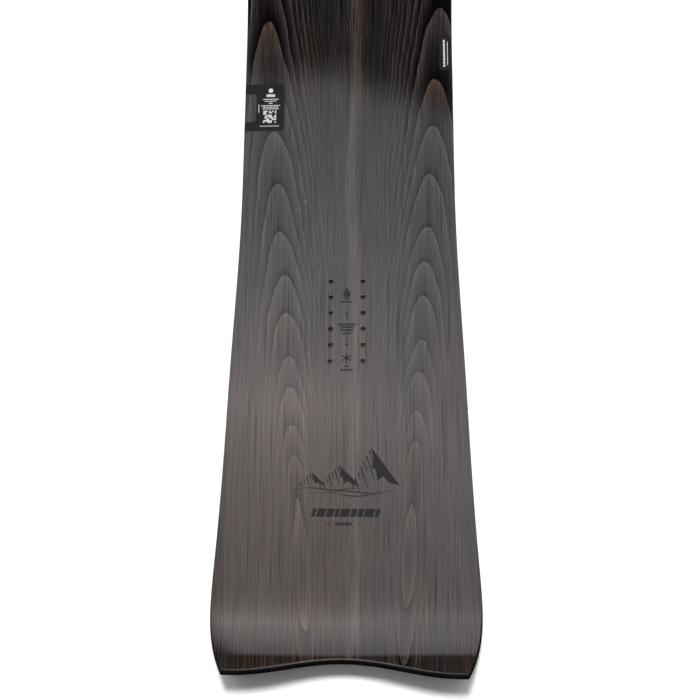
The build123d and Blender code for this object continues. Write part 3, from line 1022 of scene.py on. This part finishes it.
def stance_print(pack):
    """Icons and bars between the two columns of a pack of inserts."""
    yc = sum(rows_of[pack]) / len(rows_of[pack])
    shapes = [drop(0.0, yc + 35.5, 4.6)]
    shapes += broken_bar(0.0, yc + 27.8, 6.3, 1.9, 3) + broken_bar(0.0, yc + 23.9, 14.2, 2.2, 5)
    shapes += [bar(0.0, yc + 6.0, 1.0, 8.5), [(-1.7, yc + 9.0), (1.7, yc + 9.0), (0.0, yc + 12.5)]]
    for y, width, parts in ((-4.6, 23.0, 7), (-7.9, 16.0, 6), (-11.7, 15.6, 5), (-15.8, 10.5, 4)):
        shapes += broken_bar(0.0, yc + y, width, 2.4, parts)
    shapes += [bar(0.0, yc - 25.8, 1.0, 8.5), [(-1.7, yc - 29.0), (0.0, yc - 32.5), (1.7, yc - 29.0)]]
    shapes += star(0.0, yc - 46.5, 6.4)
    shapes += broken_bar(0.0, yc - 56.4, 6.3, 1.9, 3) + broken_bar(0.0, yc - 61.0, 15.3, 2.2, 6)
    return shapes


def ribbon(xs, law, thick):
    """Band that follows a curve and thins to both ends."""
    upper, lower = [], []
    for k, x in enumerate(xs):
        t = thick * sin(pi * (k + 0.4) / (len(xs) - 0.2))
        upper.append((x, law(x) + t / 2))
        lower.append((x, law(x) - t / 2))
    return upper + lower[::-1]


def peak(x, y, height, left, right):
    """Mountain: hatched sunny flank and solid shaded flank."""
    shapes = []
    count = max(3, int(left / 3.4))
    for k in range(count):
        f = (k + 0.6) / count
        ax = x - left * f
        ay = y + height * (1.0 - f)
        reach = (0.35 + 0.45 * (k % 2)) * height * (1.0 - 0.6 * f)
        shapes.append([(ax - 0.6, ay - 0.8), (ax + 0.7, ay + 0.5), (ax + 0.34 * reach + 0.3, ay - reach),
                       (ax + 0.34 * reach - 0.4, ay - reach - 0.4)])
    shade = ((0.0, 1.0), (1.0, 0.0), (0.62, 0.07), (0.42, 0.24),
             (0.22, 0.12), (0.16, 0.42), (0.02, 0.46), (0.08, 0.70))
    shapes.append([(x + right * fx, y + height * fy) for fx, fy in shade])
    return shapes


def emblem():
    """Ridge of peaks over wind lines."""
    shapes = peak(-41.0, -580.0, 15.0, 18.0, 17.0)
    shapes += peak(-8.0, -581.0, 25.0, 24.0, 25.0)
    shapes += peak(30.0, -580.0, 45.0, 24.0, 34.0)
    for i, (x0, x1, y) in enumerate(((-64.0, 20.0, -584.5), (-42.0, 62.0, -588.0), (-20.0, 46.0, -591.5))):
        xs = [x0 + (x1 - x0) * k / 20.0 for k in range(21)]
        shapes.append(ribbon(xs, lambda x, y=y, i=i: y + 1.3 * sin(x / 9.0 + 1.7 * i), 1.3))
    return shapes


def title():
    """Slanted bars in place of a name, and a short line of bars under them."""
    shapes = broken_bar(0.0, -612.0, 80.0, 9.5, 9, 1.4) + broken_bar(-2.5, -625.0, 19.0, 3.6, 5)
    return shapes + [bar(-21.0, -625.0, 7.0, 0.8), bar(16.5, -625.0, 7.0, 0.8)]


def along_bar(x, y, length, width, parts):
    """Broken bar that runs along the board."""
    return [[(b, a) for a, b in shape] for shape in broken_bar(y, x, length, width, parts)]


CODE_CELLS = 9


def block_pattern(x, y, size):
    """Square of meaningless blocks."""
    cell = size / CODE_CELLS
    middle = CODE_CELLS // 2
    shapes = []
    for i in range(CODE_CELLS):
        for j in range(CODE_CELLS):
            if sin(5.1 * i + 2.7 * j * j + 1.3 * i * j) > -0.25:
                shapes.append(bar(x + (i - middle) * cell, y + (j - middle) * cell, cell * 0.96, cell * 0.96))
    return shapes


LABEL_LINES = ((-85.2, 20.0, 7), (-87.8, 15.0, 5), (-90.8, 5.0, 1), (-94.0, 25.0, 9), (-96.2, 20.0, 7),
               (-98.6, 21.0, 8))


def left_label():
    shapes = [disc(-101.0, -73.0, 3.0)] + broken_bar(-101.0, -80.0, 11.0, 3.6, 4)
    for y, width, parts in LABEL_LINES:
        shapes += broken_bar(-101.0, y, width, 1.1, parts)
    shapes += block_pattern(-101.8, -109.6, 17.0)
    shapes += broken_bar(-101.8, -122.6, 25.0, 0.9, 12)
    return shapes + along_bar(-116.2, -98.0, 11.5, 1.0, 7)


def right_label():
    return along_bar(124.6, -25.8, 38.0, 2.3, 12) + along_bar(129.0, -25.8, 33.0, 0.9, 15)


for name, shapes in (("emblem_print", emblem()), ("title_print", title()),
                     ("stance_print_rear", stance_print("rear")),
                     ("stance_print_front", stance_print("front"))):
    draped(name, shapes, sheet_top, dark_ink)
film_top = over_core(GLASS_T + VENEER_T + LABEL_T)
for name, shapes in (("label_print_left", left_label()), ("label_print_right", right_label())):
    draped(name, shapes, film_top, pale_ink)

# ---------------------------------------------------------------- stage, light, camera
def studio_floor():
    bpy.ops.mesh.primitive_plane_add(size=12, location=(0, 0, low.z))
    floor = bpy.context.object
    floor.name = "floor"
    paper, g, shader, (x, y, z) = new_material("studio_paper", 0.9, Specular_IOR_Level=0.0)
    mottle = g.ramp(g.noise(x, y, 0.0, 3.0), -0.3, 0.3)
    g.put(shader.inputs["Base Color"], g.mix(mottle, (0.915, 0.94, 0.95), (0.935, 0.96, 0.97)))
    floor.data.materials.append(paper)


def studio_world():
    """Dim room with a large light on either side, toward the nose."""
    world = bpy.data.worlds.new("studio")
    bpy.context.scene.world = world
    world.use_nodes = True
    background = world.node_tree.nodes["Background"]
    background.inputs["Color"].default_value = (1, 1, 1, 1)
    x, y, z = axes(world.node_tree, "Generated")
    g = Graph(world.node_tree)
    up = g.math("MAXIMUM", z, 0.02)
    fore = g.math("DIVIDE", y, up)
    side = g.math("ABSOLUTE", g.math("ADD", g.math("DIVIDE", x, up), 0.1))
    lights = g.times(g.ramp(fore, 0.75, 0.9), g.ramp(fore, 1.4, 1.15), g.ramp(side, 0.3, 0.4),
                     g.ramp(side, 2.7, 1.7))
    room = g.ramp(z, 0.5, 0.15, 0.0, 0.2)
    g.put(background.inputs["Strength"], g.math("ADD", g.times(lights, 7.0), room))


def key_lamp():
    """Soft key from beyond the nose, kept out of the lacquer's mirror image."""
    data = bpy.data.lights.new("key", "SUN")
    data.energy = 4.0
    data.angle = 0.30
    lamp = bpy.data.objects.new("key", data)
    bpy.context.scene.collection.objects.link(lamp)
    lamp.rotation_mode = "QUATERNION"
    lamp.rotation_quaternion = Vector((-0.05, 1.0, 1.0)).to_track_quat("Z", "Y")
    lamp.visible_glossy = False


SOFTBOX_Z, SOFTBOX_HALF = 5.94, 1.7
SOFTBOX_NEAR, SOFTBOX_FAR, SOFTBOX_POWER = -2.2, 3.8, 2.4
# brightness along the panel, from the tail's side to the nose's, and the level that a colour of 1 stands for
SOFTBOX_LEVELS = ((-1.9, 0.0), (-1.5, 1.48), (-0.95, 1.78), (0.0, 2.7), (0.5, 2.38), (1.2, 2.12), (2.1, 1.65),
                  (2.6, 1.5), (2.82, 1.42), (3.03, 1.34), (3.21, 1.2), (3.38, 0.35), (3.52, 0.0))
SOFTBOX_TOP = 3.0


def softbox_material():
    m = bpy.data.materials.new("softbox")
    m.use_nodes = True
    tree = m.node_tree
    tree.nodes.remove(tree.nodes["Principled BSDF"])
    glow = tree.nodes.new("ShaderNodeEmission")
    tree.links.new(glow.outputs[0], tree.nodes["Material Output"].inputs["Surface"])
    g = Graph(tree)
    x, y, z = axes(tree, "Object")
    skew = g.times(g.math("MAXIMUM", g.math("ADD", x, 0.24), 0.0), 0.38)
    skew = g.math("ADD", skew, g.ramp(x, -0.45, -0.2, 0.0, 0.1))
    along = g.ramp(g.math("ADD", y, skew), SOFTBOX_NEAR, SOFTBOX_FAR, kind="LINEAR")
    reach = SOFTBOX_FAR - SOFTBOX_NEAR
    stops = [((at - SOFTBOX_NEAR) / reach, (level / SOFTBOX_TOP,) * 3) for at, level in SOFTBOX_LEVELS]
    fade = g.ramp(g.math("ABSOLUTE", g.math("ADD", x, 0.27)), 1.35, 1.1)
    # the panel is a little brighter on the left over the rear foot
    lean = g.times(g.hill(y, -0.3, 1.2), g.ramp(x, 0.5, -1.2, -0.11, 0.18))
    fade = g.times(fade, g.math("ADD", lean, 1.0))
    g.put(glow.inputs["Strength"], g.times(g.colours(along, stops), fade, SOFTBOX_POWER))
    warm = g.times(g.ramp(y, 1.5, -0.4), g.ramp(x, 0.8, -0.9, 0.55, 1.0))
    g.put(glow.inputs["Color"], g.mix(warm, (0.99, 0.983, 1.01), (1.075, 0.975, 0.955)))
    return m


def overhead_softbox():
    """Large panel, brightest over the tail half, that the lacquer mirrors."""
    bm = bmesh.new()
    corners = ((-SOFTBOX_HALF, SOFTBOX_NEAR), (SOFTBOX_HALF, SOFTBOX_NEAR),
               (SOFTBOX_HALF, SOFTBOX_FAR), (-SOFTBOX_HALF, SOFTBOX_FAR))
    bm.faces.new([bm.verts.new((x, y, SOFTBOX_Z)) for x, y in corners])
    mesh = bpy.data.meshes.new("softbox")
    bm.to_mesh(mesh)
    bm.free()
    mesh.materials.append(softbox_material())
    panel = bpy.data.objects.new("softbox", mesh)
    bpy.context.scene.collection.objects.link(panel)
    panel.visible_shadow = False


def add_camera():
    """Camera over the tail, looking a little toward the nose."""
    data = bpy.data.cameras.new("camera")
    data.sensor_width = 36.0
    data.lens = 40.10
    camera = bpy.data.objects.new("camera", data)
    bpy.context.scene.collection.objects.link(camera)
    eye = Vector((0.05466, -0.58693, 0.94426))
    target = Vector((0.00420, -0.41748, 0.0098))
    back = (eye - target).normalized()
    across = Vector((-0.0054, 1.0, 0.0)).cross(back).normalized()
    upward = back.cross(across)
    camera.matrix_world = Matrix.Translation(eye) @ Matrix((across, upward, back)).transposed().to_4x4()
    bpy.context.scene.camera = camera


studio_floor()
studio_world()
key_lamp()
overhead_softbox()
add_camera()
